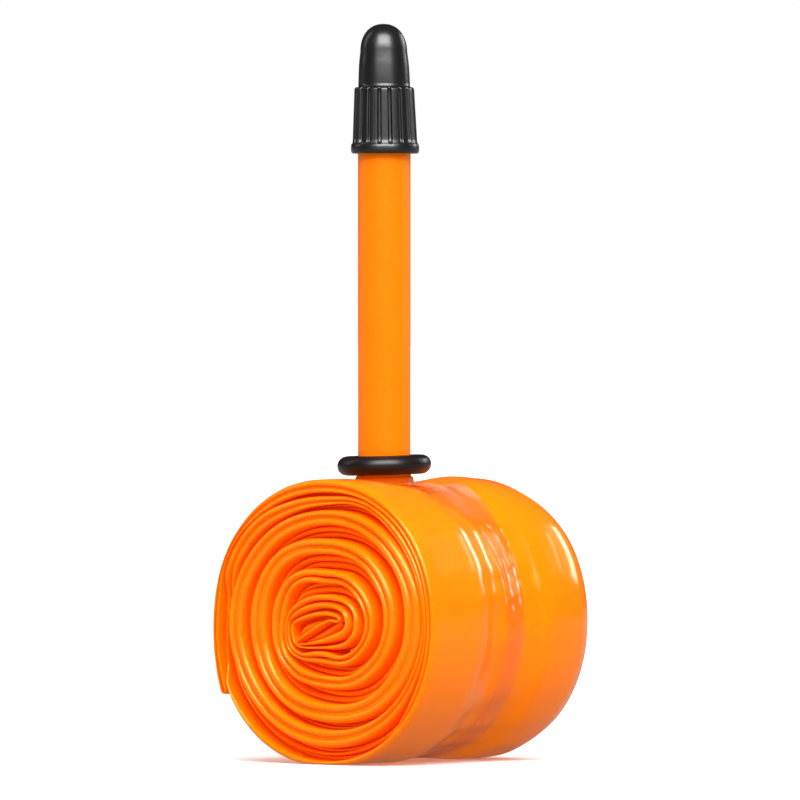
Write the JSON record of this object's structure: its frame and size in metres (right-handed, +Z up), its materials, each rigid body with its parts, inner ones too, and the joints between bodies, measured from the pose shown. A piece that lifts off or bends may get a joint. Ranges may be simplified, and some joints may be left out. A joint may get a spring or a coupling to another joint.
{
  "type": "bicycle inner tube",
  "caption": "Thin-film bicycle inner tube, flattened, folded double and rolled up in a clear strap, with a long straight valve, rubber ring, hidden valve core and ribbed cap.",
  "frame": {"origin": "on the resting surface, under the middle of the roll", "axes": "+Z up along the valve, Y along the roll's axis with the flap's spiral end at -Y, X across the roll"},
  "size_m": [0.0352, 0.0324, 0.0909],
  "materials": {
    "tube_film": "thin translucent orange TPU film, smooth and glossy",
    "strap_film": "clear soft film with small gloss wrinkles",
    "stem_plastic": "moulded orange TPU, satin gloss",
    "cap_plastic": "moulded black plastic, satin",
    "ring_rubber": "smooth black rubber",
    "seal_rubber": "matte black rubber",
    "valve_brass": "turned brass, bright"
  },
  "bodies": {
    "tube": {"tube_roll": "tube_film", "clear_strap": "strap_film", "valve_stem": "stem_plastic", "core_insert": "valve_brass", "valve_core": "valve_brass", "core_gasket": "seal_rubber"},
    "pin": {"valve_pin": "valve_brass", "pin_seal": "seal_rubber"},
    "nut": {"lock_nut": "valve_brass"},
    "cap": {"valve_cap": "cap_plastic"},
    "o_ring": {"stem_o_ring": "ring_rubber"}
  },
  "joints": [
    {"name": "cap_lift", "type": "slide", "parent": "tube", "child": "cap", "axis": [0, 0, 1], "range_m": [0, 0.018]},
    {"name": "o_ring_slide", "type": "slide", "parent": "tube", "child": "o_ring", "axis": [0, 0, 1], "range_m": [0, 0.036]},
    {"name": "pin_press", "type": "slide", "parent": "tube", "child": "pin", "axis": [0, 0, -1], "range_m": [0, 0.0012]},
    {"name": "nut_unscrew", "type": "slide", "parent": "pin", "child": "nut", "axis": [0, 0, 1], "range_m": [0, 0.0015]}
  ],
  "couplings": [
    {"joint": "pin_press", "follows": "nut_unscrew", "ratio": 0.8}
  ]
}
